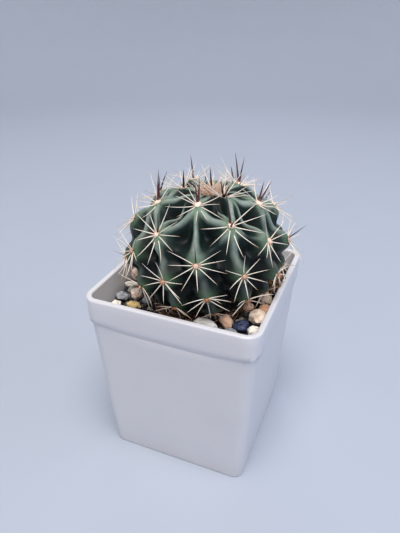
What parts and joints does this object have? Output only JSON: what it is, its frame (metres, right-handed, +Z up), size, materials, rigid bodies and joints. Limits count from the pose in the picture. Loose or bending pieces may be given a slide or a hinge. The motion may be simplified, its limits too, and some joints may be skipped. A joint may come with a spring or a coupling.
{
  "type": "potted turks head cactus",
  "caption": "Globe-shaped ribbed cactus with stars of pale spines, standing in gritty soil and loose stones in a square tapered plastic pot.",
  "frame": {"origin": "centre of the underside of the pot's foot", "axes": "+Z up, -Y to the pot's front face, +X to its right"},
  "size_m": [0.0814, 0.0829, 0.1358],
  "materials": {
    "pot_plastic": "white moulded plastic, slightly glossy",
    "soil": "dark gritty potting mix, matte",
    "plant": "dark blue-green skin with a thin bloom, pale spines",
    "stone_peach": "rough peach stone",
    "stone_orange": "rough orange stone",
    "stone_yellow": "rough ochre stone",
    "stone_white": "rough off-white stone",
    "stone_grey": "rough grey stone",
    "stone_slate": "dark blue-black slate chip"
  },
  "bodies": {
    "root": {"cactus": "plant", "pot": "pot_plastic", "potting_soil": "soil", "stone_grey_01": "stone_grey", "stone_grey_02": "stone_grey", "stone_grey_03": "stone_grey", "stone_grey_04": "stone_grey", "stone_grey_05": "stone_grey", "stone_grey_06": "stone_grey", "stone_grey_07": "stone_grey", "stone_grey_08": "stone_grey", "stone_grey_09": "stone_grey", "stone_orange_01": "stone_orange", "stone_orange_02": "stone_orange", "stone_orange_03": "stone_orange", "stone_orange_04": "stone_orange", "stone_orange_05": "stone_orange", "stone_orange_06": "stone_orange", "stone_peach_01": "stone_peach", "stone_peach_02": "stone_peach", "stone_peach_03": "stone_peach", "stone_peach_04": "stone_peach", "stone_peach_05": "stone_peach", "stone_peach_06": "stone_peach", "stone_peach_07": "stone_peach", "stone_slate_01": "stone_slate", "stone_slate_02": "stone_slate", "stone_slate_03": "stone_slate", "stone_slate_04": "stone_slate", "stone_slate_05": "stone_slate", "stone_slate_06": "stone_slate", "stone_slate_07": "stone_slate", "stone_slate_08": "stone_slate", "stone_slate_09": "stone_slate", "stone_slate_10": "stone_slate", "stone_white_01": "stone_white", "stone_white_02": "stone_white", "stone_white_03": "stone_white", "stone_white_04": "stone_white", "stone_white_05": "stone_white", "stone_white_06": "stone_white", "stone_white_07": "stone_white", "stone_yellow_01": "stone_yellow", "stone_yellow_02": "stone_yellow", "stone_yellow_03": "stone_yellow", "stone_yellow_04": "stone_yellow"}
  },
  "joints": []
}
